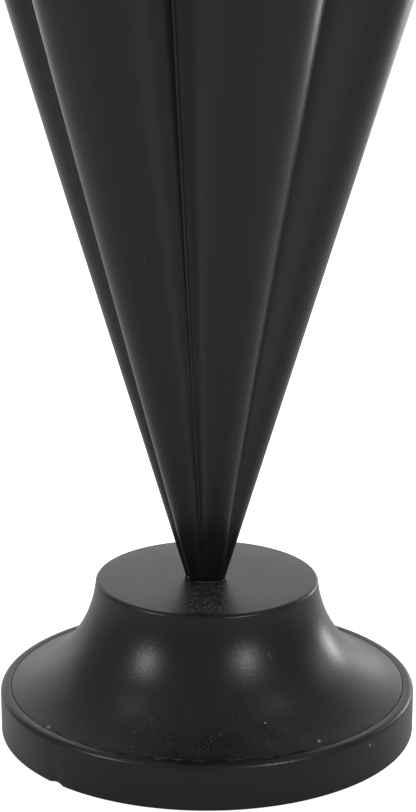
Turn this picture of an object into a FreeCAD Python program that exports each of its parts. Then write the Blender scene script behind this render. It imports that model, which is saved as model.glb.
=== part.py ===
import FreeCAD, Part
import os
from math import cos, degrees, pi, sin, sqrt

# Floor-standing ashtray bin.
# A round weighted base carries an inverted cone made of six half-round gores.
# The cone's mouth holds a lift-out liner, a cover with litter openings and an ash bowl.
# Frame: origin on the floor at the centre of the base, +Z up, one lobe of the cone facing -Y.
# All sizes are in millimetres.

# ---------------------------------------------------------------- driving dimensions

# base
base_radius = 150.0
rim_height = 33.3
rim_edge_radius = 4.0
rim_floor_gap = 1.0
land_flange_depth = 20.0
crease_radius = 141.7
cove_radius = 89.4
disc_radius = 79.8
disc_height = 110.9
disc_edge_radius = 2.6
shell_wall = 2.0

# ballast, base plate and floor ring
ballast_thickness = 20.0
ballast_pocket_radius = 15.0
ballast_pocket_depth = 11.0
plate_thickness = 2.0
floor_ring_width = 8.0
floor_ring_inset = 3.0
screw_count = 6
screw_circle_radius = 118.0
screw_radius = 3.0
screw_head_radius = 5.5
screw_head_height = 2.6
screw_depth = 12.0

# tie rod
rod_radius = 5.0
rod_washer_radius = 12.0
rod_washer_thickness = 2.0
rod_nut_height = 6.5
rod_nut_flats = 16.0
socket_length = 60.0
socket_thread_depth = 45.0

# cone body of six gores
lobe_count = 6
body_top_height = 620.0
tip_peak_radius = 13.2
tip_valley_radius = 11.4
mouth_peak_radius = 170.0
mouth_valley_radius = 110.0
gore_wall = 1.5
tip_seam_flange = 2.0
mouth_seam_flange = 8.0

# mouth of the body
mouth_plate_thickness = 3.0
collar_depth = 18.0
collar_wall = 1.5

# liner
liner_depth = 223.0
liner_wall = 1.0
liner_flange_width = 10.0
liner_flange_thickness = 1.2
liner_bead_radius = 2.0
grip_width = 62.0
grip_reach = 24.0
grip_height = 14.0
grip_strip = 2.5
grip_drop = 24.0

# cover
cover_ring_thickness = 3.0
cover_lip_depth = 8.0
cover_lip_wall = 2.0
arm_count = 3
arm_width = 6.0
arm_height = 11.0
seat_wall = 5.0

# ash bowl
bowl_radius = 44.0
bowl_depth = 38.0
bowl_wall = 1.2
bowl_flange_width = 7.0
bowl_ledge_drop = 6.0
bowl_ledge_width = 3.0
bowl_bottom_radius = 10.0

# stub grid and its knob
grid_thickness = 2.0
grid_hole_radius = 3.0
grid_hole_pitch = 10.5
grid_first_ring = 15.5
grid_ring_pitch = 9.0
grid_plain_edge = 3.5
knob_stem_radius = 4.0
knob_stem_height = 6.0
knob_head_radius = 9.5
knob_head_height = 9.0
knob_edge_radius = 2.5
knob_screw_radius = 2.0
knob_screw_head_radius = 4.0
knob_screw_head_height = 2.2
knob_screw_depth = 9.0

# clearances
fit_gap = 0.15
seam_gap = 0.05
weld_gap = 0.35
hole_gap = 0.5
collar_gap = 0.3
mouth_gap = 3.0
liner_body_gap = 5.0
lip_gap = 1.2
lift_gap = 0.6

# ---------------------------------------------------------------- worked-out levels

flange_bottom = rim_height - shell_wall
ballast_bottom = flange_bottom - ballast_thickness
plate_bottom = ballast_bottom - plate_thickness
pocket_top = ballast_bottom + ballast_pocket_depth
mouth_plate_top = body_top_height + mouth_plate_thickness
liner_flange_top = mouth_plate_top + liner_flange_thickness
cover_top = liner_flange_top + cover_ring_thickness
bowl_flange_top = cover_top + bowl_wall
ledge_height = bowl_flange_top - bowl_ledge_drop
grid_top = ledge_height + grid_thickness

# ---------------------------------------------------------------- cone body, worked out

half_sector = pi / lobe_count


def body_share(height):
    """0 at the cone's tip on the disc, 1 at the gores' top edge."""
    return (height - disc_height) / (body_top_height - disc_height)


def between(at_tip, at_mouth, height):
    return at_tip + (at_mouth - at_tip) * body_share(height)


def peak_radius(height):
    return between(tip_peak_radius, mouth_peak_radius, height)


def valley_radius(height):
    return between(tip_valley_radius, mouth_valley_radius, height)


def seam_edge_radius(height):
    """Distance from the axis of the seam flanges' inner edges."""
    return valley_radius(height) - between(tip_seam_flange, mouth_seam_flange, height)


# ---------------------------------------------------------------- worked-out radii

wall_inner_radius = base_radius - shell_wall
collar_radius = seam_edge_radius(body_top_height - collar_depth) - collar_gap
mouth_radius = collar_radius - collar_wall
liner_top_radius = mouth_radius - mouth_gap
liner_bottom_radius = seam_edge_radius(mouth_plate_top - liner_depth) - liner_body_gap
liner_flange_radius = liner_top_radius + liner_flange_width
bead_centre_radius = liner_flange_radius + liner_bead_radius
liner_slope = (liner_top_radius - liner_bottom_radius) / liner_depth
cover_radius = liner_flange_radius - lift_gap
lip_outer_radius = liner_top_radius - liner_wall - liner_slope * cover_lip_depth - lip_gap
lip_inner_radius = lip_outer_radius - cover_lip_wall
seat_inner_radius = bowl_radius + lift_gap
seat_outer_radius = seat_inner_radius + seat_wall
bowl_well_radius = bowl_radius - bowl_wall - bowl_ledge_width
grid_radius = bowl_radius - bowl_wall - lift_gap
grid_last_ring = grid_radius - grid_plain_edge - grid_hole_radius
grid_ring_count = int((grid_last_ring - grid_first_ring) / grid_ring_pitch) + 1

# ---------------------------------------------------------------- helpers


def vec(x, y, z=0.0):
    return FreeCAD.Vector(x, y, z)


def line(start, end):
    return Part.LineSegment(start, end).toShape()


def arc(start, through, end):
    return Part.Arc(start, through, end).toShape()


def revolve(edges):
    """Turn a closed outline in the XZ plane about the Z axis into a solid."""
    face = Part.Face(Part.Wire(edges))
    return face.revolve(vec(0, 0), vec(0, 0, 1), 360)


def turned(points):
    """Turn a straight-sided outline, given as (radius, height) points."""
    corners = [vec(r, 0, z) for r, z in points]
    return revolve([line(a, b) for a, b in zip(corners, corners[1:] + corners[:1])])


def cylinder(radius, bottom, top, x=0.0, y=0.0):
    return Part.makeCylinder(radius, top - bottom, vec(x, y, bottom))


def ring(inner, outer, bottom, top):
    return cylinder(outer, bottom, top).cut(cylinder(inner, bottom - 1, top + 1))


def on_circle(radius, angle):
    return vec(radius * cos(angle), radius * sin(angle))


def spread(count, start=0.0):
    return [start + 2 * pi * i / count for i in range(count)]


def turn_about_axis(shape, angle):
    copy = shape.copy()
    copy.rotate(vec(0, 0), vec(0, 0, 1), degrees(angle))
    return copy


def circle_edges(shape, radius, height):
    """The circular edges of a turned solid at one radius and height."""
    found = []
    for edge in shape.Edges:
        if not isinstance(edge.Curve, Part.Circle):
            continue
        same_radius = abs(edge.Curve.Radius - radius) < 1e-4
        same_height = abs(edge.Curve.Center.z - height) < 1e-4
        if same_radius and same_height:
            found.append(edge)
    return found


def upright_edges(box, x):
    """The vertical edges of a box that lie on one plane across X."""
    found = []
    for edge in box.Edges:
        upright = edge.BoundBox.ZLength > edge.BoundBox.YLength
        if upright and abs(edge.CenterOfMass.x - x) < 1e-6:
            found.append(edge)
    return found


def save(name, shape):
    shape.exportStep("parts/" + name + ".step")


# ---------------------------------------------------------------- base


def make_base_rim():
    body = turned([
        (base_radius, rim_floor_gap),
        (base_radius, rim_height),
        (base_radius - land_flange_depth, rim_height),
        (base_radius - land_flange_depth, flange_bottom),
        (wall_inner_radius, flange_bottom),
        (wall_inner_radius, rim_floor_gap),
    ])
    return body.makeFillet(rim_edge_radius, circle_edges(body, base_radius, rim_height))


def cove_centre():
    """Centre of the concave arc from the disc's edge down to the crease."""
    rise = disc_height - disc_edge_radius - rim_height
    run = crease_radius - disc_radius
    chord = sqrt(rise * rise + run * run)
    reach = sqrt(cove_radius ** 2 - (chord / 2) ** 2)
    middle_radius = (crease_radius + disc_radius) / 2
    middle_height = rim_height + rise / 2
    return middle_radius + reach * rise / chord, middle_height + reach * run / chord


def cove_point(radius_of_arc, height, centre):
    return vec(centre[0] - sqrt(radius_of_arc ** 2 - (height - centre[1]) ** 2), 0, height)


def make_base_cove():
    centre = cove_centre()
    inner_arc = cove_radius + shell_wall
    disc_underside = disc_height - shell_wall
    hole = rod_radius + hole_gap
    middle = (disc_height + rim_height) / 2
    outer_top = cove_point(cove_radius, disc_height, centre)
    outer_low = cove_point(cove_radius, rim_height, centre)
    inner_low = cove_point(inner_arc, rim_height, centre)
    inner_top = cove_point(inner_arc, disc_underside, centre)
    shell = revolve([
        line(vec(hole, 0, disc_height), outer_top),
        arc(outer_top, cove_point(cove_radius, middle, centre), outer_low),
        line(outer_low, inner_low),
        arc(inner_low, cove_point(inner_arc, middle, centre), inner_top),
        line(inner_top, vec(hole, 0, disc_underside)),
        line(vec(hole, 0, disc_underside), vec(hole, 0, disc_height)),
    ])
    return shell.makeFillet(disc_edge_radius, circle_edges(shell, outer_top.x, disc_height))


def screw_places():
    return [on_circle(screw_circle_radius, a) for a in spread(screw_count, half_sector)]


def make_ballast_disc():
    disc = ring(rod_radius + hole_gap, wall_inner_radius - hole_gap, ballast_bottom, flange_bottom)
    disc = disc.cut(cylinder(ballast_pocket_radius, ballast_bottom - 1, pocket_top))
    for place in screw_places():
        hole_top = ballast_bottom + screw_depth
        disc = disc.cut(cylinder(screw_radius + fit_gap, ballast_bottom - 1, hole_top, place.x, place.y))
    return disc


def make_base_plate():
    plate = cylinder(wall_inner_radius - hole_gap, plate_bottom, ballast_bottom)
    for place in screw_places():
        hole = cylinder(screw_radius + fit_gap, plate_bottom - 1, ballast_bottom + 1, place.x, place.y)
        plate = plate.cut(hole)
    return plate


def make_floor_ring():
    outer = wall_inner_radius - floor_ring_inset
    return ring(outer - floor_ring_width, outer, 0, plate_bottom)


def make_plate_screws():
    screws = []
    for place in screw_places():
        shank_top = ballast_bottom + screw_depth - hole_gap
        shank = cylinder(screw_radius, plate_bottom, shank_top, place.x, place.y)
        head = cylinder(screw_head_radius, plate_bottom - screw_head_height, plate_bottom, place.x, place.y)
        lower_edge = [e for e in head.Edges if abs(e.CenterOfMass.z - head.BoundBox.ZMin) < 1e-6]
        head = head.makeFillet(screw_head_height / 3, lower_edge)
        screws.append(shank.fuse(head).removeSplitter().Solids[0])
    return Part.Compound(screws)


# ---------------------------------------------------------------- tie rod


def make_tie_rod():
    bottom = pocket_top - rod_washer_thickness - rod_nut_height - rod_radius / 4
    top = disc_height + socket_thread_depth - hole_gap
    rod = cylinder(rod_radius, bottom, top)
    return rod.makeChamfer(rod_radius / 6, circle_edges(rod, rod_radius, top))


def make_rod_washer():
    return ring(rod_radius + fit_gap, rod_washer_radius, pocket_top - rod_washer_thickness, pocket_top)


def make_rod_nut():
    top = pocket_top - rod_washer_thickness
    corner = rod_nut_flats / 2 / cos(pi / 6)
    outline = Part.makePolygon([on_circle(corner, a) for a in spread(6)] + [on_circle(corner, 0)])
    nut = Part.Face(outline).extrude(vec(0, 0, rod_nut_height))
    nut.translate(vec(0, 0, top - rod_nut_height))
    return nut.cut(cylinder(rod_radius + fit_gap, top - rod_nut_height - 1, top + 1))


def make_tip_socket():
    """Tapered plug inside the cone's tip, seated against the edges of the seam flanges."""
    bottom_radius = seam_edge_radius(disc_height) - fit_gap
    top_radius = seam_edge_radius(disc_height + socket_length) - fit_gap
    plug = Part.makeCone(bottom_radius, top_radius, socket_length, vec(0, 0, disc_height))
    thread_top = disc_height + socket_thread_depth
    return plug.cut(cylinder(rod_radius + fit_gap, disc_height - 1, thread_top))


# ---------------------------------------------------------------- cone body


def lobe_circle(height):
    """Centre distance and radius of the circle through a lobe's peak and its two valleys."""
    peak = peak_radius(height)
    valley = valley_radius(height)
    centre = (peak ** 2 - valley ** 2) / (2 * (peak - valley * cos(half_sector)))
    return centre, peak - centre


def gore_section(height):
    """Closed outline of one gore: a half-round wall and its two seam flanges."""
    centre, radius = lobe_circle(height)
    valley = valley_radius(height)
    edge = seam_edge_radius(height)
    to_plane = centre * sin(half_sector)
    inner_chord = sqrt((radius - gore_wall) ** 2 - (to_plane - gore_wall) ** 2)
    inner_valley = centre * cos(half_sector) + inner_chord

    def at(along, inward, side):
        x = along * cos(half_sector) + inward * sin(half_sector)
        y = along * sin(half_sector) - inward * cos(half_sector)
        return vec(x, side * y, height)

    outer_peak = vec(centre + radius, 0, height)
    inner_peak = vec(centre + radius - gore_wall, 0, height)
    flange = ((valley, seam_gap), (edge, seam_gap), (edge, gore_wall), (inner_valley, gore_wall))
    left = [at(along, inward, 1) for along, inward in flange]
    right = [at(along, inward, -1) for along, inward in flange]
    return Part.Wire([
        arc(right[0], outer_peak, left[0]),
        line(left[0], left[1]),
        line(left[1], left[2]),
        line(left[2], left[3]),
        arc(left[3], inner_peak, right[3]),
        line(right[3], right[2]),
        line(right[2], right[1]),
        line(right[1], right[0]),
    ])


def make_gore():
    return Part.makeLoft([gore_section(disc_height), gore_section(body_top_height)], True, True)


def lobed_outline(height):
    """Six-lobed outline of the body at one height."""
    peak = peak_radius(height)
    valley = valley_radius(height)
    edges = []
    for angle in spread(lobe_count, -pi / 2):
        start = on_circle(valley, angle - half_sector)
        end = on_circle(valley, angle + half_sector)
        edges.append(arc(start, on_circle(peak, angle), end))
    return Part.Wire(edges)


def make_mouth_plate():
    plate = Part.Face(lobed_outline(body_top_height)).extrude(vec(0, 0, mouth_plate_thickness))
    plate.translate(vec(0, 0, body_top_height))
    return plate.cut(cylinder(mouth_radius, body_top_height - 1, mouth_plate_top + 1))


def make_mouth_collar():
    return ring(mouth_radius, collar_radius, body_top_height - collar_depth, body_top_height)


# ---------------------------------------------------------------- liner


def liner_outer_radius(height):
    return liner_top_radius - liner_slope * (mouth_plate_top - height)


def make_liner_wall():
    bottom = mouth_plate_top - liner_depth
    return turned([
        (liner_bottom_radius, bottom),
        (liner_top_radius, mouth_plate_top),
        (liner_top_radius - liner_wall, mouth_plate_top),
        (liner_bottom_radius - liner_wall, bottom),
    ])


def make_liner_bottom():
    """Disc pressed into the wall's lower end and seamed to it."""
    bottom = mouth_plate_top - liner_depth
    low_radius = liner_bottom_radius - liner_wall - seam_gap
    high_radius = low_radius + liner_slope * liner_wall
    return Part.makeCone(low_radius, high_radius, liner_wall, vec(0, 0, bottom))


def make_liner_rim():
    """Flat flange with a rolled bead, standing on the wall's upper end."""
    flange = ring(liner_top_radius - liner_wall, bead_centre_radius, mouth_plate_top, liner_flange_top)
    bead_height = mouth_plate_top + liner_bead_radius
    bead = Part.makeTorus(bead_centre_radius, liner_bead_radius, vec(0, 0, bead_height))
    return flange.fuse(bead).removeSplitter()


def make_liner_grip(angle):
    """Finger loop of flat strip, its two ends standing on the liner's wall."""
    top = mouth_plate_top - grip_drop
    bottom = top - grip_height
    inner_radius = liner_outer_radius(top) - grip_reach
    wall_reach = liner_top_radius
    outer = Part.makeBox(wall_reach - inner_radius, grip_width, grip_height)
    outer.translate(vec(inner_radius, -grip_width / 2, bottom))
    outer = outer.makeFillet(grip_reach / 2, upright_edges(outer, inner_radius))
    hole = Part.makeBox(wall_reach - inner_radius, grip_width - 2 * grip_strip, grip_height + 2)
    hole.translate(vec(inner_radius + grip_strip, grip_strip - grip_width / 2, bottom - 1))
    hole = hole.makeFillet(grip_reach / 2 - grip_strip, upright_edges(hole, inner_radius + grip_strip))
    low_radius = liner_outer_radius(bottom) - liner_wall - weld_gap
    high_radius = liner_outer_radius(top) - liner_wall - weld_gap
    room = Part.makeCone(low_radius, high_radius, grip_height, vec(0, 0, bottom))
    return turn_about_axis(outer.cut(hole).common(room), angle)


# ---------------------------------------------------------------- cover


def make_cover_ring():
    return turned([
        (lip_inner_radius, liner_flange_top - cover_lip_depth),
        (lip_outer_radius, liner_flange_top - cover_lip_depth),
        (lip_outer_radius, liner_flange_top),
        (cover_radius, liner_flange_top),
        (cover_radius, cover_top),
        (lip_inner_radius, cover_top),
    ])


def make_bowl_seat():
    return ring(seat_inner_radius, seat_outer_radius, cover_top - arm_height, cover_top)


def make_cover_arm(angle):
    bar = Part.makeBox(lip_inner_radius, arm_width, arm_height)
    bar.translate(vec(0, -arm_width / 2, cover_top - arm_height))
    reach = ring(seat_outer_radius + seam_gap, lip_inner_radius - seam_gap, cover_top - arm_height, cover_top)
    return turn_about_axis(bar.common(reach), angle)


# ---------------------------------------------------------------- ash bowl and grid


def make_ash_bowl():
    bottom = bowl_flange_top - bowl_depth
    well = bowl_well_radius
    ledge_under = ledge_height - bowl_wall
    bowl = turned([
        (0, bottom),
        (well + bowl_wall, bottom),
        (well + bowl_wall, ledge_under),
        (bowl_radius, ledge_under),
        (bowl_radius, cover_top),
        (bowl_radius + bowl_flange_width, cover_top),
        (bowl_radius + bowl_flange_width, bowl_flange_top),
        (bowl_radius - bowl_wall, bowl_flange_top),
        (bowl_radius - bowl_wall, ledge_height),
        (well, ledge_height),
        (well, bottom + bowl_wall),
        (0, bottom + bowl_wall),
    ])
    bowl = bowl.makeFillet(bowl_bottom_radius, circle_edges(bowl, well + bowl_wall, bottom))
    return bowl.makeFillet(bowl_bottom_radius - bowl_wall, circle_edges(bowl, well, bottom + bowl_wall))


def make_stub_grid():
    grid = cylinder(grid_radius, ledge_height, grid_top)
    holes = [cylinder(knob_screw_radius + fit_gap, ledge_height - 1, grid_top + 1)]
    for ring_number in range(grid_ring_count):
        circle = grid_first_ring + ring_number * grid_ring_pitch
        for angle in spread(round(2 * pi * circle / grid_hole_pitch)):
            place = on_circle(circle, angle)
            holes.append(cylinder(grid_hole_radius, ledge_height - 1, grid_top + 1, place.x, place.y))
    return grid.cut(Part.Compound(holes))


def make_grid_knob():
    head_bottom = grid_top + knob_stem_height
    head_top = head_bottom + knob_head_height
    knob = turned([
        (0, grid_top),
        (knob_stem_radius, grid_top),
        (knob_stem_radius, head_bottom),
        (knob_head_radius, head_bottom),
        (knob_head_radius, head_top),
        (0, head_top),
    ])
    rims = circle_edges(knob, knob_head_radius, head_top) + circle_edges(knob, knob_head_radius, head_bottom)
    knob = knob.makeFillet(knob_edge_radius, rims)
    return knob.cut(cylinder(knob_screw_radius + fit_gap, grid_top - 1, grid_top + knob_screw_depth))


def make_knob_screw():
    shank = cylinder(knob_screw_radius, ledge_height, grid_top + knob_screw_depth - hole_gap)
    head = cylinder(knob_screw_head_radius, ledge_height - knob_screw_head_height, ledge_height)
    return shank.fuse(head).removeSplitter()


# ---------------------------------------------------------------- build


os.makedirs("parts", exist_ok=True)

save("base_rim", make_base_rim())
save("base_cove", make_base_cove())
save("ballast_disc", make_ballast_disc())
save("base_plate", make_base_plate())
save("floor_ring", make_floor_ring())
save("plate_screws", make_plate_screws())
save("tie_rod", make_tie_rod())
save("rod_washer", make_rod_washer())
save("rod_nut", make_rod_nut())
save("tip_socket", make_tip_socket())

gore = make_gore()
for number, angle in enumerate(spread(lobe_count, -pi / 2), start=1):
    save("gore_%d" % number, turn_about_axis(gore, angle))
save("mouth_plate", make_mouth_plate())
save("mouth_collar", make_mouth_collar())

save("liner_wall", make_liner_wall())
save("liner_bottom", make_liner_bottom())
save("liner_rim", make_liner_rim())
for number, angle in enumerate(spread(2), start=1):
    save("liner_grip_%d" % number, make_liner_grip(angle))

save("cover_ring", make_cover_ring())
save("bowl_seat", make_bowl_seat())
for number, angle in enumerate(spread(arm_count, pi / 2), start=1):
    save("cover_arm_%d" % number, make_cover_arm(angle))

save("ash_bowl", make_ash_bowl())
save("stub_grid", make_stub_grid())
save("grid_knob", make_grid_knob())
save("knob_screw", make_knob_screw())
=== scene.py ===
from math import atan2, cos, hypot, pi, radians, sin, sqrt

import bpy
from bpy.props import FloatProperty, FloatVectorProperty, IntProperty, PointerProperty
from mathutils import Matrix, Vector


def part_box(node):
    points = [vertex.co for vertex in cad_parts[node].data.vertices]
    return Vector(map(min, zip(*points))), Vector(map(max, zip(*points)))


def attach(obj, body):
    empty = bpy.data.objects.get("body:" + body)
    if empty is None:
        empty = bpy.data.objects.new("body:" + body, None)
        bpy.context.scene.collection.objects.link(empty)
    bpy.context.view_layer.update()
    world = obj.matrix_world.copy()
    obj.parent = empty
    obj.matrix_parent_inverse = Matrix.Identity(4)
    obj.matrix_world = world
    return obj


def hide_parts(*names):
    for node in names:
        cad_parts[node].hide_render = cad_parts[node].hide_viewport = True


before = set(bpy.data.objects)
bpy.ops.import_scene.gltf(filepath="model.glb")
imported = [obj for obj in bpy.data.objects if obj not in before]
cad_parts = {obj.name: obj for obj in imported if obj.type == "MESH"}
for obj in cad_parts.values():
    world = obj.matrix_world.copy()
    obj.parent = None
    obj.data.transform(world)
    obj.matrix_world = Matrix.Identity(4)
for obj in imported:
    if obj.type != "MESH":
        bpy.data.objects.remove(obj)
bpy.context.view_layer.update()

bl_info = {
    "name": "Ashtray Bin",
    "version": (1, 0, 0),
    "blender": (4, 5, 0),
    "location": "3D View > Sidebar > Ashtray Bin",
    "description": "Builds the turned, formed and welded pieces of a floor-standing ashtray bin",
    "category": "Add Mesh",
}

BOX = {name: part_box(name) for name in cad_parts}


def top(node):
    return BOX[node][1].z


def bottom(node):
    return BOX[node][0].z


def radius(node):
    """Outer radius of a node that is round about the Z axis."""
    return BOX[node][1].x


# ---------------------------------------------------------------- modelling helpers


def deselect_objects():
    if bpy.context.object and bpy.context.object.mode != "OBJECT":
        bpy.ops.object.mode_set(mode="OBJECT")
    bpy.ops.object.select_all(action="DESELECT")


def edit_new_piece(name):
    """Applies the place of the primitive that was just added and opens it in edit mode."""
    piece = bpy.context.object
    piece.name = name
    piece.data.name = name
    bpy.ops.object.transform_apply(location=True, rotation=True, scale=True)
    bpy.ops.object.mode_set(mode="EDIT")
    bpy.ops.mesh.select_mode(type="VERT")
    bpy.ops.mesh.select_all(action="SELECT")
    return piece


def single_point(name, x, y, z):
    """A new piece in edit mode that is one point so far."""
    deselect_objects()
    bpy.ops.mesh.primitive_plane_add(size=0.001, location=(x, y, z))
    piece = edit_new_piece(name)
    bpy.ops.mesh.merge(type="CENTER")
    return piece


def select_points(piece, wanted):
    """Selects the points whose place passes the test, and what lies between them."""
    bpy.ops.mesh.select_mode(type="VERT")
    bpy.ops.object.mode_set(mode="OBJECT")
    mesh = piece.data
    for face in mesh.polygons:
        face.select = False
    for edge in mesh.edges:
        edge.select = False
    for point in mesh.vertices:
        point.select = bool(wanted(point.co))
    bpy.ops.object.mode_set(mode="EDIT")


def select_faces(piece, wanted):
    """Selects the faces whose middle and normal pass the test."""
    bpy.ops.mesh.select_mode(type="FACE")
    bpy.ops.object.mode_set(mode="OBJECT")
    mesh = piece.data
    for point in mesh.vertices:
        point.select = False
    for edge in mesh.edges:
        edge.select = False
    for face in mesh.polygons:
        face.select = bool(wanted(face.center, face.normal))
    bpy.ops.object.mode_set(mode="EDIT")


def outline(name, start, moves, rounds=()):
    """Draws half of a turned piece's section in the XZ plane, in metres.

    A move of two numbers is a line to that radius and height. A move of three is an arc
    about a centre, by an angle that is positive from +X towards +Z.
    Each round is a corner's radius and height, its size and its number of steps."""
    r, z = start
    piece = single_point(name, r, 0, z)
    for move in moves:
        if len(move) == 2:
            shift = (move[0] - r, 0, move[1] - z)
            bpy.ops.mesh.extrude_vertices_move(TRANSFORM_OT_translate={"value": shift})
            r, z = move
        else:
            cr, cz, angle, steps = move
            bpy.ops.mesh.spin(steps=steps, angle=angle, center=(cr, 0, cz), axis=(0, 1, 0))
            dr, dz = r - cr, z - cz
            r = cr + dr * cos(angle) - dz * sin(angle)
            z = cz + dr * sin(angle) + dz * cos(angle)
    bpy.ops.mesh.select_all(action="SELECT")
    bpy.ops.mesh.remove_doubles(threshold=1e-6)
    for corner_r, corner_z, size, steps in rounds:
        select_points(piece, lambda co: hypot(co.x - corner_r, co.z - corner_z) < 2e-5)
        if not piece.data.total_vert_sel:
            raise RuntimeError(f"{name} has no corner at {corner_r:.4f}, {corner_z:.4f}")
        bpy.ops.mesh.bevel(offset=size * 0.9, segments=steps, affect="VERTICES")
    return piece


def turn(piece, steps, smooth=32):
    """Turns the outline round the Z axis into a closed skin with its faces outwards."""
    bpy.ops.mesh.select_all(action="SELECT")
    bpy.ops.mesh.spin(steps=steps, angle=2 * pi, center=(0, 0, 0), axis=(0, 0, 1))
    close_skin(smooth)
    return piece


def close_skin(smooth):
    bpy.ops.mesh.select_all(action="SELECT")
    bpy.ops.mesh.remove_doubles(threshold=2e-6)
    bpy.ops.mesh.select_all(action="SELECT")
    bpy.ops.mesh.normals_make_consistent(inside=False)
    bpy.ops.object.mode_set(mode="OBJECT")
    bpy.ops.object.shade_smooth_by_angle(angle=radians(smooth))


def dent(piece, place, size, push):
    """Pushes the points near a place, as a knock does."""
    bpy.ops.object.mode_set(mode="EDIT")
    select_points(piece, lambda co: (co - Vector(place)).length < size)
    bpy.ops.transform.translate(value=push)
    bpy.ops.object.mode_set(mode="OBJECT")


def lean(piece, height, tilt):
    """Leans the flat top of a turned piece about the X axis and lets its side follow."""
    bpy.ops.object.mode_set(mode="EDIT")
    select_points(piece, lambda co: co.z > height - 0.0004)
    bpy.ops.transform.rotate(value=-tilt, orient_axis="X", center_override=(0, 0, height),
                             use_proportional_edit=True, proportional_size=0.045,
                             proportional_edit_falloff="SMOOTH")
    bpy.ops.object.mode_set(mode="OBJECT")


def add_modifier(piece, kind, **settings):
    """Adds a modifier, sets it and applies it."""
    deselect_objects()
    piece.select_set(True)
    bpy.context.view_layer.objects.active = piece
    modifier = piece.modifiers.new(kind.title(), kind)
    for name, value in settings.items():
        setattr(modifier, name, value)
    bpy.ops.object.modifier_apply(modifier=modifier.name)


def turned_copy(piece, name, angle):
    """A copy with its own mesh, turned about the Z axis."""
    deselect_objects()
    piece.select_set(True)
    bpy.context.view_layer.objects.active = piece
    bpy.ops.object.duplicate()
    copy = bpy.context.object
    copy.name = name
    copy.data.name = name
    copy.rotation_euler.z = angle
    bpy.ops.object.transform_apply(location=True, rotation=True, scale=True)
    return copy


def fit(piece, body, slot, *stands_for):
    """Gives a finished piece its finish and its place in the frame."""
    deselect_objects()
    piece.data.materials.clear()
    piece.data.materials.append(finish(slot))
    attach(piece, body)
    if stands_for:
        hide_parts(*stands_for)
    return piece


# ---------------------------------------------------------------- sizes and colours


def length(name, default, description):
    return FloatProperty(name=name, description=description, default=default,
                         min=0, subtype="DISTANCE", unit="LENGTH")


def pushes(name, default, description):
    return FloatVectorProperty(name=name, description=description, default=default, size=6,
                               subtype="NONE", unit="LENGTH", precision=5)


def level(name, default, description):
    return FloatProperty(name=name, description=description, default=default, min=0)


def swing(name, degrees, description):
    return FloatProperty(name=name, description=description, default=radians(degrees),
                         subtype="ANGLE")


def colour(name, default, description):
    return FloatVectorProperty(name=name, description=description, default=default,
                               size=3, min=0, max=1, subtype="COLOR")


class AshBinBaseSizes(bpy.types.PropertyGroup):
    rim_radius: length("Rim radius", radius("base_rim"), "Outer radius of the base")
    rim_top: length("Rim top", top("base_rim"), "Height of the flat land on the rim")
    rim_round: length("Rim round", 0.004, "Radius of the rim's upper edge")
    foot_round: length("Foot round", 0.0009, "Radius of the rim's lower edge")
    wall: length("Wall", 0.002, "Thickness of the base's pressed steel")
    crease_radius: length("Crease radius", radius("base_cove"), "Where the cove meets the land")
    crease_depth: length("Crease depth", 0.0011, "Depth of the groove between land and cove")
    cove_radius: length("Cove radius", 0.0894, "Radius of the hollow curve up to the disc")
    disc_radius: length("Disc radius", 0.0803, "Radius of the flat disc under the cone")
    disc_rise: length("Disc rise", 0.0008, "How far the cone's foot is sunk in the disc")
    disc_tilt: swing("Disc tilt", 0.8, "How far the disc leans to the front")
    disc_top: length("Disc top", top("base_cove"), "Height of the flat disc under the cone")
    disc_round: length("Disc round", 0.0026, "Radius of the disc's edge")
    steps: IntProperty(name="Steps", description="Steps round the base", default=224, min=24)


class AshBinConeSizes(bpy.types.PropertyGroup):
    mouth_peak: length("Mouth peak", -BOX["gore_1"][0].y, "Radius of the lobes' crests at the top")
    mouth_valley: length("Mouth valley", 0.110, "Radius of the seams at the top")
    tip_peak: length("Tip peak", 0.0132, "Radius of the lobes' crests on the disc")
    tip_valley: length("Tip valley", 0.0114, "Radius of the seams on the disc")
    wall: length("Wall", 0.0015, "Thickness of the lobes' sheet")
    crest_mid: pushes("Crests at mid height", (-0.0015, -0.0003, 0, 0, 0.00225, 0.0021),
                      "How far each lobe's crest stands out at mid height")
    crest_low: pushes("Crests low down", (0.0007, 0, 0, 0, 0.0021, 0.0019),
                      "How far each lobe's crest stands out near the tip")
    seam_mid: pushes("Seams at mid height", (0.0024, 0, 0, -0.0001, 0.0007, 0.0026),
                     "How far each seam stands out at mid height")
    seam_low: pushes("Seams low down", (0.0030, 0, 0, -0.0001, 0.0006, 0.0008),
                     "How far each seam stands out near the tip")
    seam_turn: FloatVectorProperty(
        name="Seams turned", default=(0, 0, 0, 0, 0, radians(-0.3)), size=6, unit="ROTATION",
        description="How far each seam stands to one side of its place")
    seam_bead: length("Seam bead", 0.0036, "Radius of the weld in each seam at the top")
    tip_bead: length("Tip bead", 0.0014, "Radius of the weld round the tip")


class AshBinTopSizes(bpy.types.PropertyGroup):
    liner_wall: length("Liner wall", 0.001, "Thickness of the liner's sheet")
    rib_depth: length("Rib depth", 0.0012, "Depth of the liner's rolled ribs")
    cover_round: length("Cover round", 0.0010, "Edge rounding of the cover's rings")
    arm_round: length("Arm round", 0.0012, "Edge rounding of the cover's arms")
    bowl_radius: length("Bowl radius", 0.044, "Outer radius of the ash bowl")
    bowl_wall: length("Bowl wall", 0.0012, "Thickness of the ash bowl")
    knob_flutes: IntProperty(name="Knob flutes", description="Grip grooves round the knob",
                             default=24, min=6)


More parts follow.
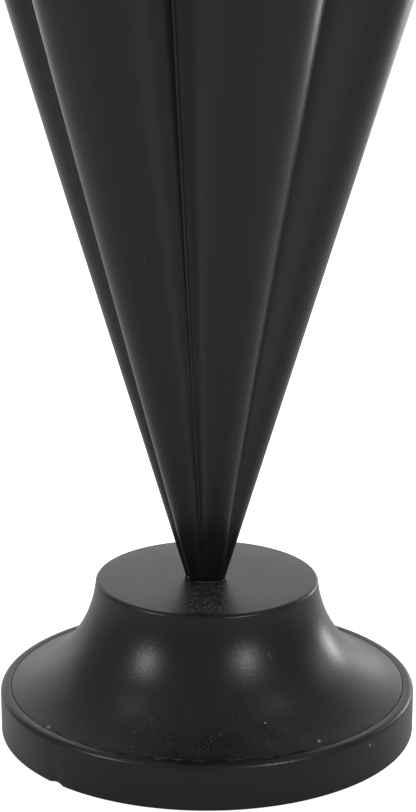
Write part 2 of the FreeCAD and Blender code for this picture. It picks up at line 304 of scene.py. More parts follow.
class AshBinColours(bpy.types.PropertyGroup):
    enamel: colour("Enamel", (0.0060, 0.0059, 0.0063), "Black enamel of base and cone")
    dust: colour("Dust", (0.115, 0.105, 0.092), "Dust that settles on the enamel")
    chip: colour("Chip", (0.20, 0.19, 0.175), "Primer that shows in chips and pinholes")
    iron: colour("Iron", (0.045, 0.040, 0.037), "Cast ballast")
    zinc: colour("Zinc", (0.56, 0.55, 0.50), "Zinc-plated plate, screws and rod")
    rubber: colour("Rubber", (0.018, 0.018, 0.019), "Floor ring")
    steel: colour("Steel", (0.40, 0.395, 0.385), "Brushed stainless liner, bowl and grid")
    ash: colour("Ash", (0.16, 0.15, 0.14), "Ash and soot stains in the bowl")


class AshBinStudio(bpy.types.PropertyGroup):
    distance: length("Distance", 1.266, "Camera's distance from the bin's axis")
    height: length("Height", 0.5547, "Camera's height over the floor")
    around: swing("Around", -17.3, "Camera's turn round the bin")
    down: swing("Down", 14.05, "How far the camera looks down")
    aside: swing("Aside", 0.032, "How far the camera looks past the axis")
    lens: FloatProperty(name="Lens", description="Focal length in millimetres",
                        default=82.15, min=10)
    backdrop: colour("Backdrop", (1.0, 1.0, 1.0), "Colour of the studio")
    world: level("World", 0.46, "Strength of the soft light all round")
    floor: level("Floor", 0.9, "Brightness of the pale floor")
    back_light: level("Back light", 0.78, "Brightness of the wall of light")
    left_box: level("Left box", 24.0, "Brightness of the front left soft box")
    right_box: level("Right box", 32.0, "Brightness of the front right soft box")
    high_boxes: level("High boxes", 2.6, "Brightness of the two soft boxes high at the sides")
    right_spot: level("Right spot", 1.8, "Brightness of the small soft box behind the right side")
    right_strip: level("Right strip", 0.15, "Brightness of the strip behind the right side")
    side_strip: level("Side strip", 2.2, "Brightness of the soft box at the right side")


GROUPS = {
    "ash_bin_base": AshBinBaseSizes,
    "ash_bin_cone": AshBinConeSizes,
    "ash_bin_top": AshBinTopSizes,
    "ash_bin_colours": AshBinColours,
    "ash_bin_studio": AshBinStudio,
}


# ---------------------------------------------------------------- finishes


class Value:
    """One number on a material's surface. Arithmetic on it adds Math nodes."""

    def __init__(self, maker, socket):
        self.maker = maker
        self.socket = socket

    def math(self, operation, *values, clamp=False):
        settings = {"operation": operation, "use_clamp": clamp}
        return self.maker.node("ShaderNodeMath", settings, dict(enumerate(values)))

    def __abs__(self):
        return self.math("ABSOLUTE", self)

    def __add__(self, other):
        return self.math("ADD", self, other)

    def __sub__(self, other):
        return self.math("SUBTRACT", self, other)

    def __rsub__(self, other):
        return self.math("SUBTRACT", other, self)

    def __mul__(self, other):
        return self.math("MULTIPLY", self, other)

    def __truediv__(self, other):
        return self.math("DIVIDE", self, other)

    def __pow__(self, other):
        return self.math("POWER", self, other)

    __radd__ = __add__
    __rmul__ = __mul__

    def held(self):
        """The value held between 0 and 1."""
        return self.math("ADD", self, 0.0, clamp=True)

    def above(self, start, full):
        """0 at start, rising to 1 at full."""
        inputs = {"Value": self, "From Min": start, "From Max": full}
        return self.maker.node("ShaderNodeMapRange", {"clamp": True}, inputs)


class Finish:
    """One material, built from nodes on its own shader."""

    def __init__(self, name, **constants):
        self.material = bpy.data.materials.new(name)
        self.material.use_nodes = True
        self.tree = self.material.node_tree
        self.shader = self.tree.nodes["Principled BSDF"]
        self.place = self.node("ShaderNodeTexCoord", output="Object")
        for socket, value in constants.items():
            self.shader.inputs[socket.replace("_", " ")].default_value = value

    def node(self, kind, settings=None, inputs=None, output=0):
        """Adds a node, sets it, then fills its sockets with values or links."""
        made = self.tree.nodes.new(kind)
        for name, value in (settings or {}).items():
            setattr(made, name, value)
        for name, value in (inputs or {}).items():
            if isinstance(value, Value):
                self.tree.links.new(value.socket, made.inputs[name])
            else:
                made.inputs[name].default_value = value
        return Value(self, made.outputs[output])

    def set(self, socket, value):
        self.tree.links.new(value.socket, self.shader.inputs[socket])

    def stretched(self, x, y, z):
        """Object coordinates, scaled on each axis."""
        return self.node("ShaderNodeMapping", {}, {"Vector": self.place, "Scale": (x, y, z)})

    def noise(self, scale, detail=2.0, rough=0.5, at=None):
        inputs = {"Vector": at or self.place, "Scale": scale, "Detail": detail, "Roughness": rough}
        return self.node("ShaderNodeTexNoise", {}, inputs)

    def cells(self, scale, output="Distance"):
        inputs = {"Vector": self.place, "Scale": scale}
        return self.node("ShaderNodeTexVoronoi", {"feature": "F1"}, inputs, output)

    def axis(self, name, of=None):
        return self.node("ShaderNodeSeparateXYZ", {}, {"Vector": of or self.place}, name)

    def facing_up(self):
        normal = self.node("ShaderNodeNewGeometry", output="Normal")
        return self.axis("Z", normal)

    def from_axis(self):
        """Distance from the Z axis in metres."""
        x, y = self.axis("X"), self.axis("Y")
        return (x * x + y * y) ** 0.5

    def around(self):
        """Angle round the Z axis in radians."""
        x, y = self.axis("X"), self.axis("Y")
        return x.math("ARCTAN2", y, x)

    def mix(self, share, plain, other):
        """A colour between two colours."""
        inputs = {0: share, 6: rgba(plain), 7: rgba(other)}
        return self.node("ShaderNodeMix", {"data_type": "RGBA"}, inputs, 2)

    def bump(self, height, depth, strength):
        inputs = {"Height": height, "Distance": depth, "Strength": strength}
        return self.node("ShaderNodeBump", {}, inputs)

    def near(self, place, size, ragged):
        """1 at a place, falling to 0 at a ragged edge about a size away."""
        inputs = {0: self.place, 1: place}
        gap = self.node("ShaderNodeVectorMath", {"operation": "DISTANCE"}, inputs, "Value")
        return 1 - (gap / size + ragged * 1.2).above(1.2, 1.35)

    def specks(self, scale, size, share):
        """Round specks, where only a share of the cells holds one."""
        dot = 1 - self.cells(scale).above(size * 0.6, size)
        chosen = self.axis("X", self.cells(scale, "Color")).above(1 - share, 1 - share + 0.01)
        return dot * chosen


def rgba(value):
    return value if isinstance(value, Value) else (*value[:3], 1.0)


# Knocks in the base's enamel: place and size in metres.
KNOCKS = (
    ((0.1446, 0.0117, 0.0333), 0.0030), ((0.1439, -0.0113, 0.0333), 0.0022),
    ((0.1313, -0.0219, 0.0365), 0.0018), ((0.1184, -0.0770, 0.0335), 0.0020),
    ((-0.1303, -0.0527, 0.0337), 0.0022), ((-0.1350, 0.0510, 0.0333), 0.0020),
    ((0.0378, -0.1318, 0.0349), 0.0020), ((0.0758, -0.1295, 0.0258), 0.0018),
    ((0.0047, -0.1165, 0.0458), 0.0011), ((-0.1302, -0.0745, 0.0010), 0.0030),
    ((0.030, 0.1463, 0.0300), 0.0022), ((-0.062, 0.1290, 0.0345), 0.0018),
)
FOOT_KNOCK = (-0.1302, -0.0745)
WORN_SIDE = radians(-17.3)
SLOT_OUT, SLOT_ASIDE = 0.0412, -0.0045


def black_enamel(name, colours):
    """Satin black enamel: orange peel, seams lightened with dust and painted light, a stippled
    front, worn crease and knocks.
    """
    made = Finish(name, Specular_IOR_Level=0.26)
    x, y, z = made.axis("X"), made.axis("Y"), made.axis("Z")
    out = made.from_axis()
    toward = y * -cos(WORN_SIDE) + x * sin(WORN_SIDE)
    beside = x * cos(WORN_SIDE) + y * sin(WORN_SIDE)
    peel = made.noise(420, 3.0, 0.55)
    grain = made.noise(2600, 1.0)
    dull = made.noise(9, 4.0, 0.6)
    blotch = made.noise(60, 4.0, 0.65)
    stipple = made.noise(620, 3.0, 0.65)

    cone = bpy.context.scene.ash_bin_cone
    low, high = bottom("gore_1"), top("gore_1")
    part = (z - low) / (high - low)
    crest = cone.tip_peak + part * (cone.mouth_peak - cone.tip_peak)
    tip_depth = cone.tip_peak - cone.tip_valley
    mouth_depth = cone.mouth_peak - cone.mouth_valley
    hollow = (crest - out) / (tip_depth + part * (mouth_depth - tip_depth))
    below_plate = 1 - z.above(high - 0.006, high - 0.002)
    in_seam = hollow.above(0.30, 0.9) * part.above(0.04, 0.30) * below_plate
    # The seam dust is partly real dust and partly painted light: it lifts the colour of the
    # self-shaded valleys between the lobes so they read lighter.
    seam_dust_and_painted_light = in_seam * (0.24 + blotch * 0.22)

    off_cone = 1 - z.above(low, low + 0.006)
    on_disc = z.above(low - 0.0012, low - 0.0006) * off_cone
    low_down = (1 - z.above(0.040, 0.085)) * z.above(0.0334, 0.036)
    lower_front = toward.above(0.055, 0.125) * low_down
    before_tip = toward.above(0.010, 0.022) * (1 - abs(beside).above(0.010, 0.038))
    before_tip = before_tip * on_disc * (1 - out.above(0.071, 0.076))
    grit = made.specks(400, 0.46, 0.34)
    settled = blotch.above(0.42, 0.75) * 0.08 * made.facing_up().above(0.75, 0.98)
    specked = stipple.above(0.42, 0.64) * (lower_front * 0.09 + before_tip * 0.20)
    gritty = grit * (before_tip * 0.42 + lower_front * 0.05)
    # This dust mask holds real dust and also the painted light in the seams.
    dust = (settled + seam_dust_and_painted_light + specked + gritty + on_disc * 0.02).held()

    pins = made.specks(260, 0.15, 0.09) * (lower_front * 0.45 + off_cone * 0.03)
    flecks = made.specks(420, 0.20, 0.006) * 0.30
    upright = made.stretched(1.0, 1.0, 0.055)
    scratch = made.noise(330, 1.0, 0.4, upright).above(0.745, 0.77) * dull.above(0.5, 0.6)
    off_crease = out - 0.1428
    crease = 1 - (off_crease * off_crease).above(0.0000010, 0.0000030)
    crease = crease * (1 - z.above(0.034, 0.036))
    knocks = crease * made.noise(95, 5.0, 0.7).above(0.50, 0.62) * 0.35
    for place, size in KNOCKS:
        knocks = knocks + made.near(place, size, stipple)
    worn = (pins + flecks + scratch * 0.12 + knocks * 0.7).held()
    along = 1 - abs(beside - SLOT_ASIDE).above(0.0075, 0.0090)
    across = 1 - (abs(toward - SLOT_OUT) + stipple * 0.0025).above(0.0042, 0.0050)
    slot = along * across * on_disc

    # The dust colour here includes the painted light that lightens the shaded seams.
    dust_and_seam_light_colour = made.mix(dust, colours.enamel, colours.dust)
    base = made.mix(slot, dust_and_seam_light_colour, (0.003, 0.003, 0.003))
    made.set("Base Color", made.mix(worn * (1 - slot), base, colours.chip))
    damaged = knocks + slot
    rough = 0.24 + dull * 0.10 + grain * 0.05 + dust * 0.5 + scratch * 0.15 + damaged * 0.3
    made.set("Roughness", rough.held())
    raised = peel * 0.9 + grain * 0.25
    sunk = pins * 1.2 + scratch * 0.35 + knocks * 1.5 + slot * 5
    made.set("Normal", made.bump(raised - sunk, 0.00012, 0.65))
    return made.material


def cast_iron(name, colours):
    """Sand-cast iron: coarse grain, pits and a little rust."""
    made = Finish(name, Metallic=0.35)
    sand = made.noise(700, 4.0, 0.65)
    lumps = made.noise(90, 3.0)
    rust = made.noise(28, 5.0, 0.7).above(0.52, 0.68)
    pits = made.specks(260, 0.3, 0.2)
    grey = made.mix(sand, colours.iron, (0.10, 0.092, 0.085))
    made.set("Base Color", made.mix(rust * 0.7, grey, (0.17, 0.062, 0.022)))
    made.set("Roughness", (0.62 + sand * 0.2 + rust * 0.15).held())
    made.set("Normal", made.bump(sand + lumps - pits, 0.0004, 0.8))
    return made.material


def zinc_steel(name, colours):
    """Zinc-plated steel: soft spangle, wipe marks and dull edges."""
    made = Finish(name)
    spangle = made.axis("X", made.cells(150, "Color"))
    cloud = made.noise(40, 4.0, 0.6)
    white = made.noise(22, 5.0, 0.7).above(0.56, 0.7)
    grain = made.noise(2200, 1.0)
    plated = made.mix(spangle * 0.35 + cloud * 0.3, colours.zinc, (0.36, 0.36, 0.34))
    made.set("Base Color", made.mix(white * 0.5, plated, (0.66, 0.65, 0.62)))
    made.set("Metallic", (1.0 - white * 0.45).held())
    made.set("Roughness", (0.26 + cloud * 0.2 + spangle * 0.12 + white * 0.25).held())
    made.set("Normal", made.bump(grain * 0.5 + cloud, 0.00008, 0.5))
    return made.material


def floor_rubber(name, colours):
    """Moulded rubber: fine pimples, floor dust in the grain and a paler worn foot."""
    made = Finish(name, Specular_IOR_Level=0.35)
    pimples = made.cells(900)
    grain = made.noise(1500, 3.0, 0.6)
    dust = made.noise(70, 4.0, 0.65).above(0.45, 0.7)
    foot = 1 - made.axis("Z").above(0.0, 0.0022)
    soiled = (dust * 0.30 + foot * 0.35).held()
    made.set("Base Color", made.mix(soiled, colours.rubber, colours.dust))
    made.set("Roughness", (0.62 + grain * 0.2 + dust * 0.1).held())
    made.set("Normal", made.bump(pimples + grain * 0.6, 0.00018, 0.6))
    return made.material


def brushed(made, lines, depth=0.00005):
    """Fine brushing marks over broad clouds."""
    cloud = made.noise(16, 4.0, 0.6)
    made.set("Roughness", (0.22 + lines * 0.16 + cloud * 0.14).held())
    made.set("Normal", made.bump(lines + cloud * 0.4, depth, 0.55))
    return cloud


def rings(made, scale):
    """Brushing lines that run round the Z axis."""
    x = made.from_axis()
    where = made.node("ShaderNodeCombineXYZ", {}, {"X": x, "Y": made.around() * 0.004,
                                                   "Z": made.axis("Z")})
    return made.noise(scale, 3.0, 0.7, where)


def liner_steel(name, colours):
    """Stainless sheet, brushed round, with drip stains and scuffs low down."""
    made = Finish(name, Metallic=1.0)
    lines = rings(made, 1800)
    cloud = brushed(made, lines)
    streak = made.noise(55, 3.0, 0.6, made.stretched(1.0, 1.0, 0.07)).above(0.56, 0.74)
    scuff = made.noise(300, 2.0, 0.5, made.stretched(1.0, 1.0, 0.2)).above(0.66, 0.72)
    sheet = made.mix(lines * 0.4 + cloud * 0.3, colours.steel, (0.25, 0.247, 0.24))
    stained = made.mix(streak * 0.45, sheet, (0.20, 0.17, 0.13))
    made.set("Base Color", made.mix(scuff * 0.4, stained, (0.55, 0.545, 0.53)))
    return made.material


def cover_enamel(name, colours):
    """The cover's enamel, with rub marks where hands and butts touch it."""
    made = Finish(name, Specular_IOR_Level=0.4)
    peel = made.noise(520, 3.0, 0.55)
    grain = made.noise(2600, 1.0)
    rub = made.noise(45, 4.0, 0.65).above(0.5, 0.72)
    marks = made.specks(260, 0.24, 0.07)
    arcs = rings(made, 700).above(0.7, 0.74)
    dust = (grain.above(0.5, 0.75) * 0.5 + rub * 0.5) * made.facing_up().above(0.6, 0.98) * 0.22
    base = made.mix(dust, colours.enamel, colours.dust)
    made.set("Base Color", made.mix((marks * 0.5 + arcs * 0.3).held(), base, colours.chip))
    made.set("Roughness", (0.27 + rub * 0.16 + grain * 0.05 + arcs * 0.1).held())
    made.set("Normal", made.bump(peel + grain * 0.3 - marks - arcs * 0.4, 0.0001, 0.6))
    return made.material


def bowl_steel(name, colours):
    """Stainless bowl and grid with soot inside and heat tint at the rim."""
    made = Finish(name)
    lines = rings(made, 2200)
    cloud = brushed(made, lines)
    depth = top("ash_bowl") - made.axis("Z")
    soot = made.noise(130, 5.0, 0.7).above(0.38, 0.62) * depth.above(0.001, 0.02)
    burns = made.specks(110, 0.42, 0.28) * made.noise(500, 3.0).above(0.35, 0.6)
    tint = made.noise(30, 3.0).above(0.45, 0.7)
    sheet = made.mix(tint * 0.35, colours.steel, (0.34, 0.28, 0.20))
    sooty = made.mix((soot * 0.75 + burns * 0.5).held(), sheet, colours.ash)
    made.set("Base Color", made.mix(cloud * 0.2, sooty, (0.22, 0.215, 0.21)))
    made.set("Metallic", (1.0 - soot * 0.6 - burns * 0.4).held())
    return made.material


def knob_steel(name, colours):
    """Turned knob: tool rings, bright where fingers touch it."""
    made = Finish(name, Metallic=1.0)
    lines = rings(made, 2600)
    cloud = brushed(made, lines, 0.00004)
    grime = made.noise(240, 4.0, 0.6).above(0.5, 0.7)
    metal = made.mix(cloud * 0.5, colours.steel, (0.28, 0.275, 0.265))
    made.set("Base Color", made.mix(grime * 0.45, metal, (0.12, 0.11, 0.10)))
    return made.material


FINISHES = {
    "black_enamel": black_enamel,
    "cast_iron": cast_iron,
    "zinc_steel": zinc_steel,
    "floor_rubber": floor_rubber,
    "liner_steel": liner_steel,
    "cover_enamel": cover_enamel,
    "bowl_steel": bowl_steel,
    "knob_steel": knob_steel,
}

NODE_SLOTS = {
    "black_enamel": ("base_rim", "base_cove", "gore_", "mouth_"),
    "cast_iron": ("ballast_disc",),
    "zinc_steel": ("base_plate", "plate_screws", "tie_rod", "rod_", "tip_socket"),
    "floor_rubber": ("floor_ring",),
    "liner_steel": ("liner_",),
    "cover_enamel": ("cover_", "bowl_seat"),
    "bowl_steel": ("ash_bowl", "stub_grid"),
    "knob_steel": ("grid_knob", "knob_screw"),
}


def finish(slot):
    """The material for one of the record's slots, made when it is first asked for."""
    name = "finish_" + slot
    found = bpy.data.materials.get(name)
    return found or FINISHES[slot](name, bpy.context.scene.ash_bin_colours)


# ---------------------------------------------------------------- base


def cove_centre(sizes):
    """Centre of the hollow arc from the disc's edge down to the crease."""
    rise = sizes.disc_top - sizes.disc_round - sizes.rim_top
    run = sizes.crease_radius - sizes.disc_radius
    chord = hypot(rise, run)
    reach = sqrt(sizes.cove_radius ** 2 - (chord / 2) ** 2)
    middle_r = (sizes.crease_radius + sizes.disc_radius) / 2
    middle_z = sizes.rim_top + rise / 2
    return middle_r + reach * rise / chord, middle_z + reach * run / chord


class ASHBIN_OT_base(bpy.types.Operator):
    """Spins the base's rim and its hollow cove with the flat disc on top"""
    bl_idname = "ash_bin.base"
    bl_label = "Base"

    def execute(self, context):
        s = context.scene.ash_bin_base
        foot = bottom("base_rim")
        groove = s.rim_top - s.crease_depth
        inner = s.rim_radius - s.wall
        shelf = s.rim_radius - 0.020
        rim = outline("rim_ring", (s.rim_radius, foot), [
            (s.rim_radius, s.rim_top),
            (s.crease_radius + 0.0010, s.rim_top),
            (s.crease_radius + 0.0001, groove),
            (shelf, groove),
            (shelf, s.rim_top - s.wall),
            (inner, s.rim_top - s.wall),
            (inner, foot),
            (s.rim_radius, foot),
        ], [
            (s.rim_radius, s.rim_top, s.rim_round * 1.1, 10),
            (s.rim_radius, foot, s.foot_round, 4),
            (s.crease_radius + 0.0010, s.rim_top, 0.0005, 3),
        ])
        turn(rim, s.steps)
        dent(rim, (*FOOT_KNOCK, foot), 0.0042, (0.0006, 0.0003, 0.0011))
        fit(rim, "stand", "black_enamel", "base_rim")

        cr, cz = cove_centre(s)
        reach = s.cove_radius
        surface = s.disc_top + s.disc_rise
        under = surface - s.wall
        hole = 0.0055

        def on_arc(size, height):
            return cr - sqrt(size ** 2 - (height - cz) ** 2), height

        def sweep(start, end):
            return atan2(end[1] - cz, cr - end[0]) * -1 - atan2(start[1] - cz, cr - start[0]) * -1

        high, low = on_arc(reach, surface), on_arc(reach, s.rim_top - 0.0002)
        in_low, in_high = on_arc(reach + s.wall, s.rim_top - 0.0002), on_arc(reach + s.wall, under)
        cove = outline("cove_and_disc", (hole, surface), [
            (s.disc_radius * 0.5, surface),
            high,
            (cr, cz, sweep(high, low), 26),
            in_low,
            (cr, cz, sweep(in_low, in_high), 20),
            (hole, under),
            (hole, surface),
        ], [
            (*high, s.disc_round * 1.1, 8),
            (*low, 0.0005, 3),
        ])
        turn(cove, s.steps)
        lean(cove, surface, s.disc_tilt)
        fit(cove, "stand", "black_enamel", "base_cove")
        return {"FINISHED"}


class ASHBIN_OT_floor_ring(bpy.types.Operator):
    """Spins the rubber ring that the base stands on, with grooves in its foot"""
    bl_idname = "ash_bin.floor_ring"
    bl_label = "Floor ring"

    def execute(self, context):
        outer, height = radius("floor_ring"), top("floor_ring")
        inner = outer - 0.008
        path = [(outer, height), (inner, height), (inner, 0.0)]
        for groove in range(3):
            r = inner + 0.0014 + groove * 0.0021
            path += [(r, 0.0), (r, 0.0009), (r + 0.0009, 0.0009), (r + 0.0009, 0.0)]
        path.append((outer, 0.0))
        ring = outline("rubber_ring", (outer, 0.0), path, [(outer, height, 0.001, 3)])
        fit(turn(ring, context.scene.ash_bin_base.steps), "stand", "floor_rubber", "floor_ring")
        return {"FINISHED"}


# ---------------------------------------------------------------- cone


def through(a, b, c):
    """Centre of the circle through three points of a plane."""
    d = 2 * (a.x * (b.y - c.y) + b.x * (c.y - a.y) + c.x * (a.y - b.y))
    aa, bb, cc = a.length_squared, b.length_squared, c.length_squared
    return Vector(((aa * (b.y - c.y) + bb * (c.y - a.y) + cc * (a.y - b.y)) / d,
                   (aa * (c.x - b.x) + bb * (a.x - c.x) + cc * (b.x - a.x)) / d))


def stands_at(tip, mouth, mid_push, low_push, part):
    """Radius of a crest or seam, uneven as if hand-formed. Part is 0 at the disc, 1 at the top."""
    straight = tip + (mouth - tip) * part
    return straight + mid_push * 4 * part * (1 - part) + low_push * (1 - part) ** 5


def seam_radius(sizes, number, part):
    """Radius of the seam that follows a lobe, counted from 0."""
    return stands_at(sizes.tip_valley, sizes.mouth_valley, sizes.seam_mid[number % 6],
                     sizes.seam_low[number % 6], part)


def lobe_section(sizes, number, part):
    """The first point, centre and angle of a lobe's arc at one height."""
    axis = radians(60 * number - 90)

    def at(reach, angle):
        return Vector((reach * cos(angle), reach * sin(angle)))

    crest = stands_at(sizes.tip_peak, sizes.mouth_peak, sizes.crest_mid[number],
                      sizes.crest_low[number], part)
    first = at(seam_radius(sizes, number - 1, part), axis - pi / 6 + sizes.seam_turn[number - 1])
    last = at(seam_radius(sizes, number, part), axis + pi / 6 + sizes.seam_turn[number])
    centre = through(first, at(crest, axis), last)
    start, end = first - centre, last - centre
    angle = (atan2(end.y, end.x) - atan2(start.y, start.x)) % (2 * pi)
    return first, centre, angle


class ASHBIN_OT_cone(bpy.types.Operator):
    """Bridges each lobe between its arcs and thickens it to sheet"""
    bl_idname = "ash_bin.cone"
    bl_label = "Cone"

    def execute(self, context):
        s = context.scene.ash_bin_cone
        parts = [0.0, 0.04, 0.10, 0.18, 0.3, 0.5, 0.7, 0.85, 1.0]
        for number in range(6):
            node = f"gore_{number + 1}"
            low, high = bottom(node), top(node)
            heights = [low + (high - low) * part for part in parts]
            lobe = None
            for part, height in zip(parts, heights):
                first, centre, angle = lobe_section(s, number, part)
                if lobe is None:
                    lobe = single_point(f"lobe_{number + 1}", first.x, first.y, height)
                else:
                    bpy.ops.mesh.select_all(action="DESELECT")
                    bpy.ops.mesh.primitive_plane_add(size=0.001,
                                                     location=(first.x, first.y, height))
                    bpy.ops.mesh.merge(type="CENTER")
                bpy.ops.mesh.spin(steps=32, angle=-angle, center=(centre.x, centre.y, height),
                                  axis=(0, 0, 1))
            for below, above in zip(heights, heights[1:]):
                select_points(lobe, lambda co: min(abs(co.z - below), abs(co.z - above)) < 1e-5)
                bpy.ops.mesh.bridge_edge_loops(type="SINGLE", number_cuts=3,
                                               interpolation="LINEAR")
            close_skin(50)
            outward = sum(face.normal.xy.dot(face.center.xy) > 0 for face in lobe.data.polygons)
            if outward * 2 < len(lobe.data.polygons):
                lobe.data.flip_normals()
            add_modifier(lobe, "SOLIDIFY", thickness=s.wall, offset=-1.0, use_even_offset=True)
            fit(lobe, "stand", "black_enamel", node)
        return {"FINISHED"}


class ASHBIN_OT_seams(bpy.types.Operator):
    """Lays the weld in each seam between two lobes and the ragged weld round the tip"""
    bl_idname = "ash_bin.seams"
    bl_label = "Seam welds"

    def execute(self, context):
        s = context.scene.ash_bin_cone
        low, high = bottom("gore_1"), top("gore_1")
        steps = 64
        for number in range(6):
            angle = radians(60 * number - 60) + s.seam_turn[number]
            places = []
            for step in range(steps + 1):
                part = step / steps
                reach = seam_radius(s, number, part) - s.seam_bead * 0.1
                height = low + 0.0004 + (high - low - 0.0008) * part
                places.append(Vector((reach * cos(angle), reach * sin(angle), height)))
            sizes = [s.seam_bead * (0.24 + 0.76 * step / steps + 0.03 * sin(step * 2.3 + number))
                     for step in range(steps + 1)]
            deselect_objects()
            bpy.ops.mesh.primitive_circle_add(vertices=10, radius=sizes[0], location=places[0],
                                              fill_type="NGON")
            bead = edit_new_piece(f"seam_weld_{number + 1}")
            for before, here, old, new in zip(places, places[1:], sizes, sizes[1:]):
                bpy.ops.mesh.extrude_region_move(TRANSFORM_OT_translate={"value": here - before})
                bpy.ops.transform.resize(value=(new / old, new / old, 1), center_override=here)
            close_skin(60)
            fit(bead, "stand", "black_enamel")

        deselect_objects()
        bpy.ops.mesh.primitive_torus_add(major_radius=s.tip_peak + 0.0002, minor_radius=s.tip_bead,
                                         major_segments=144, minor_segments=12,
                                         location=(0, 0, low + s.tip_bead * 0.15))
        weld = edit_new_piece("tip_weld")
        bpy.ops.mesh.bisect(plane_co=(0, 0, low - 0.0005), plane_no=(0, 0, 1),
                            clear_inner=True, use_fill=True)
        close_skin(70)
        lumps = bpy.data.textures.new("weld_lumps", "CLOUDS")
        lumps.noise_scale = 0.0035
        add_modifier(weld, "DISPLACE", texture=lumps, strength=0.0012, mid_level=0.5,
                     texture_coords="LOCAL")
        fit(weld, "stand", "black_enamel")
        return {"FINISHED"}


# ---------------------------------------------------------------- liner


class ASHBIN_OT_liner(bpy.types.Operator):
    """Spins the lift-out liner: its ribbed wall, pressed bottom and rolled rim"""
    bl_idname = "ash_bin.liner"
    bl_label = "Liner"

    def execute(self, context):
        s = context.scene.ash_bin_top
        wall = s.liner_wall
        low, high = bottom("liner_wall"), top("liner_wall")
        mouth_r = radius("liner_wall")
        foot_r = radius("liner_bottom") + wall
        slope = (mouth_r - foot_r) / (high - low)

        def side(z, inset=0.0):
            return mouth_r - (high - z) * slope - inset, z

        def ribs(inset, heights, step):
            path = []
            for z in heights:
                path += [side(z - step, inset), side(z - step * 0.4, inset + s.rib_depth),
                         side(z + step * 0.4, inset + s.rib_depth), side(z + step, inset)]
            return path

        heights = [low + (high - low) * part for part in (0.25, 0.5, 0.75)]
        sheet = outline("liner_wall_ribbed", side(low), [
            *ribs(0.0, heights, 0.004), side(high), side(high, wall),
            *ribs(wall, heights[::-1], -0.004), side(low, wall), side(low),
        ])
        fit(turn(sheet, 160), "liner", "liner_steel", "liner_wall")

        edge = radius("liner_bottom")
        floor_z = low + 0.0002
        disc = outline("liner_bottom_pressed", (0.0, floor_z + 0.0030), [
            (0.022, floor_z + 0.0030), (0.026, floor_z), (edge - 0.004, floor_z),
            (edge - 0.0002, floor_z + 0.0045), (edge + 0.0004, floor_z + 0.0045),
            (edge + 0.0001, low), (edge - 0.004, low), (0.0, low),
        ], [(0.026, floor_z, 0.002, 3), (0.022, floor_z + 0.0030, 0.002, 3)])
        fit(turn(disc, 128), "liner", "liner_steel", "liner_bottom")

        outer, rim_low, rim_high = radius("liner_rim"), bottom("liner_rim"), top("liner_rim")
        bead = (rim_high - rim_low) / 2
        bead_r = outer - bead
        upper = rim_low + 0.0012
        rim = outline("liner_rim_rolled", (bead_r, rim_low), [
            (bead_r, rim_low + bead, radians(250), 18),
            (bead_r - bead * 1.3, upper), (mouth_r - wall, upper), (mouth_r - wall, rim_low),
            (bead_r, rim_low),
        ], [(mouth_r - wall, upper, 0.0011, 4)])
        fit(turn(rim, 160), "liner", "liner_steel", "liner_rim")
        return {"FINISHED"}


# ---------------------------------------------------------------- cover


class ASHBIN_OT_cover(bpy.types.Operator):
    """Spins the cover's outer ring and bowl seat and shapes its three arms"""
    bl_idname = "ash_bin.cover"
    bl_label = "Cover"

    def execute(self, context):
        s = context.scene.ash_bin_top
        low, high = bottom("cover_ring"), top("cover_ring")
        outer = radius("cover_ring")
        under = high - 0.003
        lip_out = 0.09041
        lip_in = lip_out - 0.002
        ring = outline("cover_ring_spun", (outer, under), [
            (outer, high), (lip_in, high), (lip_in, low), (lip_out, low), (lip_out, under),
            (outer, under),
        ], [
            (outer, high, s.cover_round, 5), (outer, under, 0.0006, 3),
            (lip_in, high, s.cover_round, 5), (lip_in, low, 0.0006, 3), (lip_out, low, 0.0006, 3),
        ])
        fit(turn(ring, 160), "cover", "cover_enamel", "cover_ring")

        seat_low, seat_high = bottom("bowl_seat"), top("bowl_seat")
        seat_out = radius("bowl_seat")
        seat_in = seat_out - 0.005
        seat = outline("bowl_seat_spun", (seat_out, seat_low), [
            (seat_out, seat_high), (seat_in, seat_high), (seat_in, seat_low), (seat_out, seat_low),
        ], [(r, z, s.cover_round, 4) for r in (seat_in, seat_out) for z in (seat_low, seat_high)])
        fit(turn(seat, 128), "cover", "cover_enamel", "bowl_seat")

        arm_low, arm_high = bottom("cover_arm_1"), top("cover_arm_1")
        start, end = seat_out - 0.0006, lip_in + 0.0006
        deselect_objects()
        bpy.ops.mesh.primitive_cube_add(size=1, location=((start + end) / 2, 0,
                                                          (arm_low + arm_high) / 2),
                                        scale=(end - start, 0.006, arm_high - arm_low))
        arm = edit_new_piece("cover_arm_bar")
        select_faces(arm, lambda middle, normal: abs(normal.y) > 0.9 or abs(normal.z) > 0.9)
        bpy.ops.mesh.region_to_loop()
        bpy.ops.mesh.select_all(action="INVERT")
        bpy.ops.mesh.bevel(offset=s.arm_round, segments=4, affect="EDGES")
        close_skin(35)
        for number, around in ((1, 90), (2, 210), (3, 330)):
            bar = turned_copy(arm, f"cover_arm_bar_{number}", radians(around))
            fit(bar, "cover", "cover_enamel", f"cover_arm_{number}")
        bpy.data.objects.remove(arm)
        return {"FINISHED"}


# ---------------------------------------------------------------- ash bowl, grid and knob


